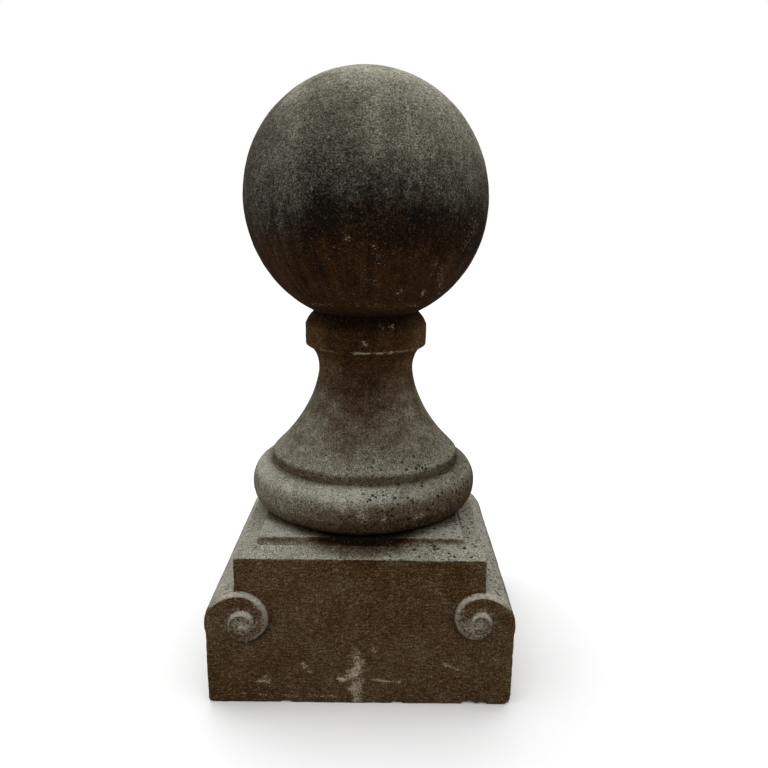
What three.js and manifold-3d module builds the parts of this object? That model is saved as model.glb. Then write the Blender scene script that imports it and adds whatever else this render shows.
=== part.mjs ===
// Stone ball finial for a gate pier, on a plinth with scrolled sides.
// Millimetres, +Z up. The origin is the middle of the plinth's underside, and -Y is the front.

import * as THREE from 'three';
import { mergeVertices } from 'three/addons/utils/BufferGeometryUtils.js';
import Module from 'manifold-3d';

const wasm = await Module();
wasm.setup();

// Ball, cut by hand a little taller than it is wide
const ballRadius = 200;
const ballHalfHeight = 203.6;

// Collar that the ball grows out of
const ballSeatRadius = 88;
const collarRadius = 103.2;
const collarSlopeHeight = 22.6;
const collarBandHeight = 34;
const collarChamferHeight = 8;
const collarFootRadius = 91;
const collarSlopeSwell = 2;

// Waisted neck, from its throat up to the collar and down to the fillet
const throatRadius = 81;
const throatToCollar = 33;
const throatToFillet = 144.5;
const flareTopPull = 15;
const flareFootPull = 98;
const flareFootAngle = 43;

// Upright fillet at the foot of the neck
const filletRadius = 160.8;
const filletHeight = 20;

// Torus, half oval in section, with a small quirk where the fillet rises from it
const torusRadius = 195.5;
const torusBulge = 30.5;
const torusHalfHeight = 39.5;
const torusSeatDrop = 35;
const quirkDepth = 4.5;
const quirkWidth = 3;

// Plinth block: the wide lower part, the narrower upper part and its sloping top
const plinthWidth = 483;
const plinthDepth = 440.4;
const upperWidth = 388.2;
const shoulderHeight = 250.2;
const ledgeWidth = 28.5;
const ledgeRise = 9;

// Raised seat on top of the plinth, with bevelled edges
const seatBevelWidth = 6;
const seatBevelRise = 11.5;

// Bedding joint between the two stones
const beddingGap = 0.3;

// Side rolls, whose ends are carved as scrolls
const scrollRadius = 62.5;
const scrollShrink = 0.63;
const scrollEyeHeight = 147;
const rollStandOut = 1.7;

// Relief of the carved scrolls on the front and the back
const scrollStart = -35;
const scrollTurnArc = 325;
const bandRelief = 6.5;
const bandRiseArc = 100;
const turnRise = 8;
const rimRun = 5.5;
const rimSetback = 0.6;
const leastRelief = 0.6;
const carvingRoot = 4;
const eyeRadius = 7;
const eyeTopRadius = 5;
const eyeRise = 2.5;

// Number of facets
const lathePieces = 56;
const ballArcs = 24;
const torusArcs = 14;
const curveArcs = 8;
const throatArcs = 4;
const rollArcs = 12;
const scrollArcs = 40;
const eyeSides = 14;

// Heights of the finial, counted from its bedding face
const torusCrown = torusSeatDrop + torusHalfHeight;
const filletFoot = torusCrown - quirkDepth;
const filletTop = filletFoot + filletHeight;
const throatHeight = filletTop + throatToFillet;
const collarFoot = throatHeight + throatToCollar;
const collarBandFoot = collarFoot + collarChamferHeight;
const collarBandTop = collarBandFoot + collarBandHeight;
const collarTop = collarBandTop + collarSlopeHeight;
const ballCentre = collarTop + ballHalfHeight * Math.sqrt(1 - (ballSeatRadius / ballRadius) ** 2);

// Heights and half sizes of the plinth
const seatFoot = shoulderHeight + ledgeRise;
const plinthTop = seatFoot + seatBevelRise;
const halfWidth = plinthWidth / 2;
const halfDepth = plinthDepth / 2;
const upperHalf = upperWidth / 2;

const radians = THREE.MathUtils.degToRad;

// Points of an oval arc about (x, y), from one angle to another in degrees.
function ovalArc(x, y, radiusX, radiusY, from, to, count) {
  const points = [];
  for (let i = 0; i <= count; i += 1) {
    const angle = radians(from + ((to - from) * i) / count);
    points.push(new THREE.Vector2(x + radiusX * Math.cos(angle), y + radiusY * Math.sin(angle)));
  }
  return points;
}

// Half oval of the torus, cut off flat by the bedding face below and by the quirk above.
function torusProfile() {
  const middle = torusRadius - torusBulge;
  const seatAngle = -THREE.MathUtils.radToDeg(Math.asin(torusSeatDrop / torusHalfHeight));
  return ovalArc(middle, torusSeatDrop, torusBulge, torusHalfHeight, seatAngle, 90, torusArcs);
}

// Fillet, with the quirk at its foot.
function filletProfile() {
  return [
    new THREE.Vector2(filletRadius + quirkWidth, torusCrown - quirkDepth / 3),
    new THREE.Vector2(filletRadius, filletFoot),
    new THREE.Vector2(filletRadius, filletTop),
  ];
}

// Long hollow curve from the fillet to the throat, then a short one out to the collar.
function neckProfile() {
  const pull = radians(flareFootAngle);
  const flare = new THREE.CubicBezierCurve(
    new THREE.Vector2(filletRadius, filletTop),
    new THREE.Vector2(filletRadius - flareFootPull * Math.cos(pull), filletTop + flareFootPull * Math.sin(pull)),
    new THREE.Vector2(throatRadius, throatHeight - flareTopPull),
    new THREE.Vector2(throatRadius, throatHeight),
  );
  const overhang = collarFootRadius - throatRadius;
  const bend = (overhang ** 2 + throatToCollar ** 2) / (2 * overhang);
  const lift = THREE.MathUtils.radToDeg(Math.asin(throatToCollar / bend));
  const throat = ovalArc(throatRadius + bend, throatHeight, bend, bend, 180, 180 - lift, throatArcs);
  return [...flare.getPoints(curveArcs).slice(1), ...throat.slice(1)];
}

// Collar: chamfer, upright band and a slope that closes in under the ball.
function collarProfile() {
  return [
    new THREE.Vector2(collarRadius, collarBandFoot),
    new THREE.Vector2(collarRadius, collarBandTop),
    new THREE.Vector2(
      (collarRadius + ballSeatRadius) / 2 + collarSlopeSwell,
      (collarBandTop + collarTop) / 2,
    ),
  ];
}

// Ball, from the circle where it meets the collar up to its top.
function ballProfile() {
  const from = -THREE.MathUtils.radToDeg(Math.acos(ballSeatRadius / ballRadius));
  const points = ovalArc(0, ballCentre, ballRadius, ballHalfHeight, from, 90, ballArcs);
  points[points.length - 1].x = 0;
  return points;
}

function buildFinial() {
  const profile = [
    new THREE.Vector2(0, 0),
    ...torusProfile(),
    ...filletProfile(),
    ...neckProfile(),
    ...collarProfile(),
    ...ballProfile(),
  ];
  const geometry = new THREE.LatheGeometry(profile, lathePieces);
  geometry.rotateX(Math.PI / 2);
  return geometry;
}

// Radius of the scroll's spiral; it shrinks by the same factor each half turn.
function spiralRadius(angle) {
  return scrollRadius * scrollShrink ** (angle / 180);
}

// Furthest that the spiral reaches sideways from its eye.
const spiralWidestAngle = THREE.MathUtils.radToDeg(Math.atan(Math.log(scrollShrink) / Math.PI));
const spiralReach = spiralRadius(spiralWidestAngle) * Math.cos(radians(spiralWidestAngle));
const eyeX = halfWidth + rollStandOut - spiralReach;

// Angle between two limits at which the spiral stands a given distance sideways from the eye.
function spiralAngleAt(offset, low, high) {
  const reach = (angle) => spiralRadius(angle) * Math.cos(radians(angle)) - offset;
  const rising = reach(high) > reach(low);
  for (let i = 0; i < 40; i += 1) {
    const middle = (low + high) / 2;
    if (reach(middle) > 0 === rising) high = middle;
    else low = middle;
  }
  return (low + high) / 2;
}

// Outside of one roll, from the lower block's side over the top to the upper block's side.
function rollOutline() {
  const from = spiralAngleAt(halfWidth - eyeX, -90, spiralWidestAngle);
  const to = spiralAngleAt(upperHalf - eyeX, spiralWidestAngle, 175);
  const points = [];
  for (let i = 0; i <= rollArcs; i += 1) {
    const angle = from + ((to - from) * i) / rollArcs;
    const radius = spiralRadius(angle);
    points.push(new THREE.Vector2(
      eyeX + radius * Math.cos(radians(angle)),
      scrollEyeHeight + radius * Math.sin(radians(angle)),
    ));
  }
  points[0].x = halfWidth;
  points[points.length - 1].x = upperHalf;
  return points;
}

// Outline of the top from the shoulder to the seat, for a block of the given half size.
function topOutline(half) {
  return [
    new THREE.Vector2(half, shoulderHeight),
    new THREE.Vector2(half - ledgeWidth, seatFoot),
    new THREE.Vector2(half - ledgeWidth - seatBevelWidth, plinthTop),
  ];
}

// A closed shape from its right half, read from the bottom up.
function mirroredShape(rightHalf) {
  const leftHalf = rightHalf.map((point) => new THREE.Vector2(-point.x, point.y)).reverse();
  return new THREE.Shape([...rightHalf, ...leftHalf]);
}

// Geometry made one solid, with its shared vertices merged.
function toSolid(geometry) {
  const bare = geometry.clone();
  bare.deleteAttribute('normal');
  bare.deleteAttribute('uv');
  const merged = mergeVertices(bare);
  return new wasm.Manifold(new wasm.Mesh({
    numProp: 3,
    vertProperties: new Float32Array(merged.attributes.position.array),
    triVerts: new Uint32Array(merged.index.array),
  }));
}

function toGeometry(solid) {
  const mesh = solid.getMesh();
  const geometry = new THREE.BufferGeometry();
  geometry.setAttribute('position', new THREE.BufferAttribute(mesh.vertProperties, 3));
  geometry.setIndex(new THREE.BufferAttribute(mesh.triVerts, 1));
  geometry.computeVertexNormals();
  return geometry;
}

// The block is where the outline seen from the front crosses the one seen from the side.
function buildBlock() {
  const front = [new THREE.Vector2(halfWidth, 0), ...rollOutline(), ...topOutline(upperHalf)];
  const side = [new THREE.Vector2(halfDepth, -carvingRoot), ...topOutline(halfDepth)];
  const slope = seatBevelWidth / seatBevelRise;
  side.push(new THREE.Vector2(side.at(-1).x - slope * carvingRoot, plinthTop + carvingRoot));

  const along = new THREE.ExtrudeGeometry(mirroredShape(front), { depth: plinthDepth * 2, bevelEnabled: false });
  along.rotateX(Math.PI / 2);
  along.translate(0, plinthDepth, 0);
  const across = new THREE.ExtrudeGeometry(mirroredShape(side), { depth: plinthWidth * 2, bevelEnabled: false });
  across.rotateX(Math.PI / 2);
  across.rotateZ(Math.PI / 2);
  across.translate(-plinthWidth, 0, 0);
  return toSolid(along).intersect(toSolid(across));
}

// How far the scroll stands out of the face: it swells at first, then climbs towards the eye.
function scrollRelief(angle) {
  const travelled = angle - scrollStart;
  const swell = THREE.MathUtils.smoothstep(travelled, 0, bandRiseArc);
  return leastRelief + bandRelief * swell + (turnRise * travelled) / 360;
}

// One turn of the scroll as a solid: a root in the stone, an edge at the face and a sloping rim.
// Its foot closes along a straight step, and the next turn starts where this one ends.
function scrollTurn(turn) {
  const start = scrollStart + turn * scrollTurnArc;
  const depths = [];
  const corners = [];
  for (let i = 0; i < scrollArcs; i += 1) {
    const angle = start + (scrollTurnArc * i) / (scrollArcs - 1);
    const foot = spiralRadius(angle) - rimSetback;
    const brow = spiralRadius(angle) - rimSetback - Math.min(rimRun, foot / 3);
    for (const [radius, depth] of [[foot, carvingRoot], [foot, 0], [brow, -scrollRelief(angle)]]) {
      corners.push(radius * Math.cos(radians(angle)), depth, radius * Math.sin(radians(angle)));
    }
    depths.push(scrollRelief(angle));
  }
  const crown = depths.reduce((sum, depth) => sum + depth, 0) / scrollArcs;
  corners.push(0, carvingRoot, 0, 0, -crown, 0);
  const rootCentre = scrollArcs * 3;
  const faceCentre = rootCentre + 1;

  const triangles = [];
  for (let i = 0; i < scrollArcs; i += 1) {
    const here = i * 3;
    const next = ((i + 1) % scrollArcs) * 3;
    for (const ring of [0, 1]) {
      triangles.push(here + ring, next + ring, here + ring + 1);
      triangles.push(next + ring, next + ring + 1, here + ring + 1);
    }
    triangles.push(here + 2, next + 2, faceCentre);
    triangles.push(next, here, rootCentre);
  }
  const geometry = new THREE.BufferGeometry();
  geometry.setAttribute('position', new THREE.Float32BufferAttribute(corners, 3));
  geometry.setIndex(triangles);
  return geometry;
}

// Small boss at the middle of the scroll.
function scrollEye() {
  const height = scrollRelief(scrollStart + 2 * scrollTurnArc) + eyeRise;
  const geometry = new THREE.CylinderGeometry(eyeTopRadius, eyeRadius, height, eyeSides);
  geometry.rotateX(Math.PI / 2);
  geometry.translate(0, -height / 2, 0);
  return geometry;
}

// The geometry turned over across X, Y or both, with its faces still pointing out.
function flipped(geometry, signX, signY) {
  const copy = geometry.clone();
  copy.scale(signX, signY, 1);
  if (signX * signY < 0) copy.setIndex(Array.from(copy.index.array).reverse());
  return copy;
}

function buildPlinth() {
  let solid = buildBlock();
  for (const carving of [scrollTurn(0), scrollTurn(1), scrollEye()]) {
    carving.translate(eyeX, -halfDepth, scrollEyeHeight);
    for (const [signX, signY] of [[1, 1], [-1, 1], [1, -1], [-1, -1]]) {
      solid = solid.add(toSolid(flipped(carving, signX, signY)));
    }
  }
  return toGeometry(solid);
}

const finialStone = new THREE.MeshStandardMaterial({ color: 0x5c5446, roughness: 0.95, metalness: 0 });
const plinthStone = new THREE.MeshStandardMaterial({ color: 0x544a3b, roughness: 0.95, metalness: 0 });

const finial = new THREE.Mesh(buildFinial(), finialStone);
finial.name = 'ball_finial';
finial.position.z = plinthTop + beddingGap;

const plinth = new THREE.Mesh(buildPlinth(), plinthStone);
plinth.name = 'scroll_plinth';

const pierBall = new THREE.Group();
pierBall.add(plinth, finial);

export default pierBall;
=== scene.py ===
# Weathered stone ball finial on a scrolled plinth, dressed round its solids.
# Metres, +Z up, -Y is the front. Both stones are dense meshes whose wear is real relief.

import math
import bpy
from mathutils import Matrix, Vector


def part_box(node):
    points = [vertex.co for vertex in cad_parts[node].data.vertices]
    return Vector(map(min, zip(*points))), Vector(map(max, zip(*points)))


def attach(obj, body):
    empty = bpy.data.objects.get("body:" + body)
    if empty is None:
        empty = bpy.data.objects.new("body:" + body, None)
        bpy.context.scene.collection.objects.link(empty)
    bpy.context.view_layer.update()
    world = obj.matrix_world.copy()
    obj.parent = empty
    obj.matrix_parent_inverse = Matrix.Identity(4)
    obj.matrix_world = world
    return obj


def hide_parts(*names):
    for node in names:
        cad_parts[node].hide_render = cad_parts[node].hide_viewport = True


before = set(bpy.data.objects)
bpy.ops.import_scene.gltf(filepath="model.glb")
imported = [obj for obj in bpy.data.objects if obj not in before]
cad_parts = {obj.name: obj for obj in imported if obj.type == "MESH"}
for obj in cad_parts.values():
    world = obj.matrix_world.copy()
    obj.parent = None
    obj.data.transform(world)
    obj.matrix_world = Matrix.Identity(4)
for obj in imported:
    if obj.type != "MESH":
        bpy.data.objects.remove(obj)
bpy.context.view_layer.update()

from types import SimpleNamespace

import bmesh
import bpy
import numpy as np
from mathutils import Euler, Quaternion, Vector

MM = 0.001

# Density of the meshes
TURNED_SEGMENTS = 320
BALL_STEP = 4.2 * MM
MOULDING_STEP = 2.6 * MM
BEDDING_STEP = 15 * MM
PLINTH_CELL = 2.85 * MM
OCTREE_DEPTH = 8
CORNER_ANGLE = math.radians(20)
CRISP_ANGLE = math.radians(38)
HIDDEN_KEPT = 0.05

# Camera, as fitted to the outline in the photograph
CAMERA_PLACE = (0.0335, -1.2399, 0.7675)
CAMERA_PITCH = math.radians(13.35)
CAMERA_ROLL = 0.011
CAMERA_LENS = 34.24

# Light from straight above, and the lamp
ZENITH = 1.45
LAMP_POWER = 24
LAMP_SIZE = 1.8
LAMP_PLACE = (-0.45, 0.35, 2.9)
LAMP_AIM = (0, 0, 0.5)

# Sizes that the solids are drawn with
BALL_RADIUS = 0.2
BALL_HALF_HEIGHT = 0.2036
COLLAR_DROP = 0.1828
COLLAR_HEIGHT = 0.0646
THROAT_DROP = 0.033
FILLET_RISE = 0.090
CROWN_RISE = 0.0745
SEAT_HEIGHT = 0.0115
HALF_DEPTH = 0.2202

# Places up the two stones, from the ends of the solids
finial_low, finial_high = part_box("ball_finial")
plinth_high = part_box("scroll_plinth")[1]
BALL_TOP = finial_high[2]
BALL_CENTRE = BALL_TOP - BALL_HALF_HEIGHT
COLLAR_TOP = BALL_CENTRE - COLLAR_DROP
COLLAR_FOOT = COLLAR_TOP - COLLAR_HEIGHT
THROAT = COLLAR_FOOT - THROAT_DROP
BEDDING = finial_low[2]
FILLET_TOP = BEDDING + FILLET_RISE
TORUS_CROWN = BEDDING + CROWN_RISE
SEAT_FOOT = plinth_high[2] - SEAT_HEIGHT
FRONT = -HALF_DEPTH


# Noise

# Odd multipliers that scramble the numbers of a cell and its seed
SCRAMBLE = (374761393, 668265263, 2147483647, 974711)
FIRST_STIR = 1274126177
SECOND_STIR = 2246822519
WHOLE_WORD = 0xFFFFFFFF
KEPT_BITS = 0xFFFFFF

# Keeps the cells' numbers well above nought, and sets the seeds of a noise's layers apart
FAR_CELL = 1000.0
SEED_STEP = 17

# Seeds of every noise in the meshes
SEED = {
    "slow": 3, "coarse": 23, "grain": 11, "large pits": 31,
    "small pits": 47, "chips": 59, "gouges": 71, "pitted side": 5,
    "few pits": 6, "cracks": 81, "lime edge": 91, "lime gaps": 93,
    "lichen": 97,
}


def lattice(cells, seed):
    """A fixed value from 0 to 1 for each whole cell."""
    mixed = seed * SCRAMBLE[3]
    for axis in range(3):
        mixed = mixed + cells[..., axis] * SCRAMBLE[axis]
    mixed = mixed.astype(np.int64) & WHOLE_WORD
    mixed = ((mixed ^ (mixed >> 13)) * FIRST_STIR) & WHOLE_WORD
    mixed = ((mixed ^ (mixed >> 16)) * SECOND_STIR) & WHOLE_WORD
    return ((mixed ^ (mixed >> 15)) & KEPT_BITS) / float(KEPT_BITS)


def value_noise(points, size, seed):
    """Smooth noise from -1 to 1 whose lumps are about size across."""
    scaled = points / np.asarray(size, float) + FAR_CELL
    cell = np.floor(scaled).astype(np.int64)
    part = scaled - cell
    blend = part * part * part * (part * (part * 6 - 15) + 10)
    total = 0.0
    for corner in range(8):
        step = np.array([corner & 1, (corner >> 1) & 1, corner >> 2])
        weight = np.prod(np.where(step, blend, 1 - blend), axis=1)
        total = total + weight * lattice(cell + step, seed)
    return total * 2 - 1


def layered_noise(points, size, seed, layers=3):
    """Noise with finer layers added, each half the size and half the height of the last."""
    total, height = 0.0, 0.0
    for layer in range(layers):
        finer = 2 ** layer
        total = total + value_noise(points, np.asarray(size, float) / finer, seed + layer * SEED_STEP) / finer
        height += 1 / finer
    return total / height


def pit_field(points, spacing, radius, share, seed):
    """Depth from 0 to 1 of round pits, scattered one to a cell in a share of the cells."""
    smallest, spread = 0.45, 0.8
    scaled = points / spacing + FAR_CELL
    cell = np.floor(scaled).astype(np.int64)
    deepest = np.zeros(len(points))
    for step in np.ndindex(3, 3, 3):
        near = cell + np.array(step) - 1
        centre = near + np.stack([lattice(near, seed + k) for k in range(3)], axis=1)
        reach = radius / spacing * (smallest + spread * lattice(near, seed + 3))
        gap = np.linalg.norm(scaled - centre, axis=1) / reach
        depth = np.clip(1 - gap * gap, 0, 1) * (lattice(near, seed + 4) < share)
        deepest = np.maximum(deepest, depth)
    return deepest


def smoothstep(low, high, value):
    """0 up to low, 1 from high on and a smooth rise between; it falls when low is the larger."""
    part = np.clip((value - low) / (high - low), 0, 1)
    return part * part * (3 - 2 * part)


# Mesh helpers

def gathered(items, name, width, kind):
    """A property of all the items, as rows of numbers."""
    values = np.zeros(len(items) * width, kind)
    items.foreach_get(name, values)
    return values.reshape(-1, width)


def mesh_points(mesh):
    return gathered(mesh.vertices, "co", 3, np.float32).astype(float)


def place_points(mesh, points):
    mesh.vertices.foreach_set("co", points.astype(np.float32).ravel())
    mesh.update()


def mesh_edges(mesh):
    return gathered(mesh.edges, "vertices", 2, np.int32)


def mesh_normals(mesh):
    return gathered(mesh.vertex_normals, "vector", 3, np.float32).astype(float)


def relaxed(values, edges, rounds):
    """Values averaged with their neighbours along the mesh's edges."""
    count = np.bincount(edges.ravel(), minlength=len(values))[:, None]
    for _ in range(rounds):
        total = np.zeros_like(values)
        for axis in range(values.shape[1]):
            for here, there in ((0, 1), (1, 0)):
                total[:, axis] += np.bincount(edges[:, here], values[edges[:, there], axis], len(values))
        values = (values + total / count) / 2
    return values


def store(mesh, **values):
    """Keeps values of the mesh's points, under their names, for the material."""
    for name, value in values.items():
        layer = mesh.attributes.new(name, "FLOAT", "POINT")
        layer.data.foreach_set("value", np.asarray(value, np.float32))


def new_object(name, data):
    made = bpy.data.objects.new(name, data)
    bpy.context.scene.collection.objects.link(made)
    return made


def settle_modifiers(thing):
    """Applies the object's modifiers to its own mesh."""
    depsgraph = bpy.context.evaluated_depsgraph_get()
    mesh = bpy.data.meshes.new_from_object(thing.evaluated_get(depsgraph))
    mesh.name = thing.name
    thing.modifiers.clear()
    thing.data = mesh


def shade_smooth(mesh):
    """Smooth shading that keeps the arrises crisp."""
    mesh.polygons.foreach_set("use_smooth", np.ones(len(mesh.polygons), bool))
    mesh.set_sharp_from_angle(angle=CRISP_ANGLE)
    mesh.update()


def even_stone(name, mesh, cell):
    """An object whose surface is rebuilt in even cells of about the given size, with its edges kept."""
    stone = new_object(name, mesh)
    remesh = stone.modifiers.new("even", "REMESH")
    remesh.mode = "SHARP"
    remesh.octree_depth = OCTREE_DEPTH
    remesh.scale = max(stone.dimensions) / (cell * 2 ** OCTREE_DEPTH)
    remesh.use_remove_disconnected = False
    settle_modifiers(stone)
    return stone


def thin_out(stone, hidden):
    """Few faces where nobody sees the stone: hidden tells which points lie there."""
    mesh = stone.data
    points = mesh_points(mesh)
    chosen = np.nonzero(hidden(points))[0]
    group = stone.vertex_groups.new(name="hidden")
    group.add(chosen.tolist(), 1.0, "REPLACE")
    decimate = stone.modifiers.new("thin", "DECIMATE")
    decimate.vertex_group = group.name
    decimate.vertex_group_factor = 10
    decimate.ratio = 1 - (1 - HIDDEN_KEPT) * len(chosen) / len(points)
    settle_modifiers(stone)
    stone.vertex_groups.clear()


# Wear

SLOW_SIZE = 100 * MM
COARSE_SIZE = 30 * MM
CHIP_SIZE = 22 * MM
CHIP_LEAST = 0.25
ARRIS_BULGE = (0.2 * MM, 1.0 * MM)
HOLLOW_BULGE = (0.15 * MM, 0.9 * MM)
SOFTENING_ROUNDS = 3
BULGE_ROUNDS = 6

# Share of the undulation, in percent, that is pressed in rather than left on the solid's surface
PRESSED_IN = 85

# Spacing and radius of the pits, and the share of the cells that hold one
LARGE_PITS = (16 * MM, 3.6 * MM, 0.45)
SMALL_PITS = (10 * MM, 2.6 * MM, 0.5)
SMALL_PIT_DEPTH = 0.75

# How ragged a gouge's edge is, the size of its lumps against its radius, and where its slope starts and ends
GOUGE_RAGGED = 0.35
GOUGE_LUMP = 0.6
GOUGE_SLOPE = (1.0, 0.35)


def surface_form(points, edges, normals):
    """Softened outward directions, and how far each point is on an arris or in a hollow."""
    soft = relaxed(normals, edges, SOFTENING_ROUNDS)
    soft /= np.maximum(np.linalg.norm(soft, axis=1), 1e-6)[:, None]
    bulge = np.einsum("ij,ij->i", points - relaxed(points, edges, BULGE_ROUNDS), soft)
    return soft, smoothstep(*ARRIS_BULGE, bulge), smoothstep(*HOLLOW_BULGE, -bulge)


def undulation(points, wear):
    """Slow waves, coarse unevenness and grain, all of them inward from the solid's surface."""
    moved = layered_noise(points, SLOW_SIZE, SEED["slow"]) * wear["slow"]
    moved += layered_noise(points, COARSE_SIZE, SEED["coarse"]) * wear["coarse"]
    moved += layered_noise(points, wear["grain_size"], SEED["grain"]) * wear["grain"]
    return np.minimum(moved - np.percentile(moved, PRESSED_IN), 0)


def round_pits(points, pitted):
    """Depth from 0 to 1 of the large and small pits, where the stone is pitted."""
    large = pit_field(points, *LARGE_PITS, SEED["large pits"])
    small = pit_field(points, *SMALL_PITS, SEED["small pits"])
    return np.maximum(large, SMALL_PIT_DEPTH * small) * pitted


def gouge_depth(points, gouges):
    """How deep the listed gouges cut at each point."""
    cut = np.zeros(len(points))
    for place, radius, depth in gouges:
        gap = np.linalg.norm(points - np.array(place), axis=1)
        gap = gap * (1 + GOUGE_RAGGED * value_noise(points, radius * GOUGE_LUMP, SEED["gouges"]))
        cut += smoothstep(*GOUGE_SLOPE, gap / radius) * depth
    return cut


def weathered(mesh, wear, gouges):
    """Presses wear into the mesh: undulation, grain, pits, chipped arrises and the listed gouges."""
    points, normals = mesh_points(mesh), mesh_normals(mesh)
    soft, arris, hollow = surface_form(points, mesh_edges(mesh), normals)
    pitted = wear["pit_where"](points, normals)
    pits = round_pits(points, pitted)
    ragged = smoothstep(0.0, 0.7, layered_noise(points, CHIP_SIZE, SEED["chips"]))
    chips = arris * (CHIP_LEAST + ragged) * wear["chips"]
    moved = undulation(points, wear) - pits * wear["pits"] - chips - gouge_depth(points, gouges)
    points = points + soft * moved[:, None]
    points[:, 2] = np.maximum(points[:, 2], wear["floor"])
    reach = np.array(wear["reach"])
    points[:, :2] = np.clip(points[:, :2], -reach, reach)
    place_points(mesh, points)
    store(mesh, arris=arris, hollow=hollow, pits=np.clip(pits, 0, 1), pitted=pitted)


# Finial

# How near a vertex has to be to the axis or to the meridian's plane, and the decimals it is rounded to
TOUCHING = 1e-5
DECIMALS = 6


def solid_meridian(node):
    """The lathe profile of a turned node, as (radius, height) from the bottom of its axis to the top."""
    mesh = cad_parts[node].data
    on_plane = {}
    for vertex in mesh.vertices:
        if abs(vertex.co.x) < TOUCHING and vertex.co.y < TOUCHING:
            on_plane[vertex.index] = (round(-vertex.co.y, DECIMALS) + 0.0, round(vertex.co.z, DECIMALS))
    links = {}
    for edge in mesh.edges:
        a, b = edge.vertices
        if a in on_plane and b in on_plane and on_plane[a] != on_plane[b]:
            links.setdefault(on_plane[a], set()).add(on_plane[b])
            links.setdefault(on_plane[b], set()).add(on_plane[a])
    here = min((p for p in links if p[0] < TOUCHING), key=lambda p: p[1])
    path = [here]
    while True:
        onward = [p for p in links[here] if p not in path]
        if not onward:
            return np.array(path)
        here = onward[0]
        path.append(here)


def curved_run(points, spacing):
    """One stretch without corners, resampled along a smooth curve through its points."""
    padded = np.vstack([2 * points[0] - points[1], points, 2 * points[-1] - points[-2]])
    made = []
    for i in range(1, len(padded) - 2):
        a, b, c, d = padded[i - 1:i + 3]
        count = max(1, round(np.linalg.norm(c - b) / spacing))
        t = (np.arange(count) / count)[:, None]
        made.append(0.5 * (2 * b + (c - a) * t + (2 * a - 5 * b + 4 * c - d) * t ** 2
                           + (3 * b - a - 3 * c + d) * t ** 3))
    return np.vstack(made)


def ring_spacing(run):
    """How far apart a stretch's rings are: finest in the mouldings, coarse on the hidden bedding face."""
    height = run[:, 1].mean()
    if height < BEDDING + MM:
        return BEDDING_STEP
    return BALL_STEP if height > COLLAR_TOP + MM else MOULDING_STEP


def dense_profile(profile):
    """The profile with its corners kept and its arcs rounded."""
    steps = np.diff(profile, axis=0)
    headings = np.arctan2(steps[:, 1], steps[:, 0])
    turns = np.abs((np.diff(headings) + math.pi) % (2 * math.pi) - math.pi)
    corners = [0] + [i + 1 for i in range(len(turns)) if turns[i] > CORNER_ANGLE] + [len(profile) - 1]
    runs = [profile[a:b + 1] for a, b in zip(corners[:-1], corners[1:])]
    return np.vstack([curved_run(run, ring_spacing(run)) for run in runs] + [profile[-1:]])


def turned_mesh(name, profile, segments):
    """A closed mesh turned about the Z axis, with a single vertex at each end of the axis."""
    rings = profile[1:-1]
    angles = np.arange(segments) * 2 * math.pi / segments
    ring_points = np.stack([
        np.outer(rings[:, 0], np.sin(angles)),
        -np.outer(rings[:, 0], np.cos(angles)),
        np.repeat(rings[:, 1:2], segments, axis=1),
    ], axis=2).reshape(-1, 3)
    points = np.vstack([ring_points, [0, 0, profile[0, 1]], [0, 0, profile[-1, 1]]])
    bottom, top = len(ring_points), len(ring_points) + 1
    ring, around = np.meshgrid(np.arange(len(rings) - 1), np.arange(segments), indexing="ij")
    onward = (around + 1) % segments
    quads = np.stack([ring * segments + around, ring * segments + onward,
                      (ring + 1) * segments + onward, (ring + 1) * segments + around], axis=2).reshape(-1, 4)
    last = (len(rings) - 1) * segments
    caps = [(bottom, (i + 1) % segments, i) for i in range(segments)]
    caps += [(top, last + i, last + (i + 1) % segments) for i in range(segments)]
    mesh = bpy.data.meshes.new(name)
    mesh.from_pydata(points.tolist(), [], quads.tolist() + caps)
    mesh.update()
    return mesh


def finial_pitted(points, normals):
    """Pits lie on the weather side of the torus and the foot of the neck, and thinly elsewhere."""
    few_share, left_share = 0.35, 0.35
    wander = 30 * MM * value_noise(points, 50 * MM, SEED["pitted side"])
    low = smoothstep(BEDDING + 0.15, BEDDING + 0.08, points[:, 2])
    side = left_share + (1 - left_share) * smoothstep(-0.05, 0.05, points[:, 0] + wander)
    up = smoothstep(-0.5, 0.1, normals[:, 2])
    here_and_there = smoothstep(0.1, 0.5, value_noise(points, 70 * MM, SEED["few pits"]))
    few = few_share * here_and_there * smoothstep(-0.2, 0.2, normals[:, 2])
    return np.maximum(low * side * up, few)


FINIAL_WEAR = {
    "slow": 0.8 * MM,
    "coarse": 0.4 * MM,
    "grain": 0.4 * MM,
    "grain_size": 0.010,
    "pits": 1.5 * MM,
    "chips": 0.9 * MM,
    "pit_where": finial_pitted,
    "floor": BEDDING,
    "reach": (BALL_RADIUS, BALL_RADIUS),
}

# Knocks on the collar's edges, the fillet and the torus: place, radius and depth
FINIAL_GOUGES = [
    ((0.030, -0.099, 0.581), 0.007, 1.5 * MM),
    ((0.002, -0.103, 0.560), 0.006, 1.2 * MM),
    ((-0.012, -0.102, 0.546), 0.009, 1.8 * MM),
    ((0.048, -0.091, 0.546), 0.010, 1.8 * MM),
    ((-0.055, -0.087, 0.546), 0.008, 1.4 * MM),
    ((0.098, -0.125, 0.361), 0.008, 1.4 * MM),
]

# How far the finial drifts to the right of its axis at each height
FINIAL_DRIFT = [
    (BEDDING, -0.8 * MM),
    (TORUS_CROWN, -0.4 * MM),
    (FILLET_TOP, 1.0 * MM),
    (COLLAR_FOOT, 1.4 * MM),
    (COLLAR_TOP, 1.6 * MM),
    (BALL_CENTRE, 0.9 * MM),
    (BALL_TOP, 0),
]
BALL_FULLER = 0.008


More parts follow.
